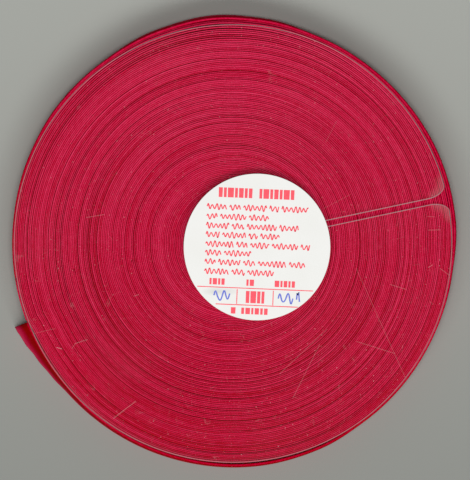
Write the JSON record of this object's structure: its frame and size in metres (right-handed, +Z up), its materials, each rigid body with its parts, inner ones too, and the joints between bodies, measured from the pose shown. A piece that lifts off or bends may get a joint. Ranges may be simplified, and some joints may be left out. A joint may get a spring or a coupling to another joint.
{
  "type": "roll of bias binding",
  "caption": "Flat roll of narrow folded bias binding with a sprung loose end, under a clear slit disc with a round paper label.",
  "frame": {"origin": "on the surface that the roll lies on, under the middle of its outline", "axes": "+Z up through the roll, from its lower face to the label; +Y to the top of the label's print"},
  "size_m": [0.1334, 0.1358, 0.0135],
  "materials": {
    "binding_cloth": "matt",
    "clear_plastic": "gloss",
    "label_paper": "satin"
  },
  "bodies": {
    "root": {"wound_binding": "binding_cloth", "loose_turn": "binding_cloth", "clear_disc": "clear_plastic", "paper_label": "label_paper"}
  },
  "joints": []
}
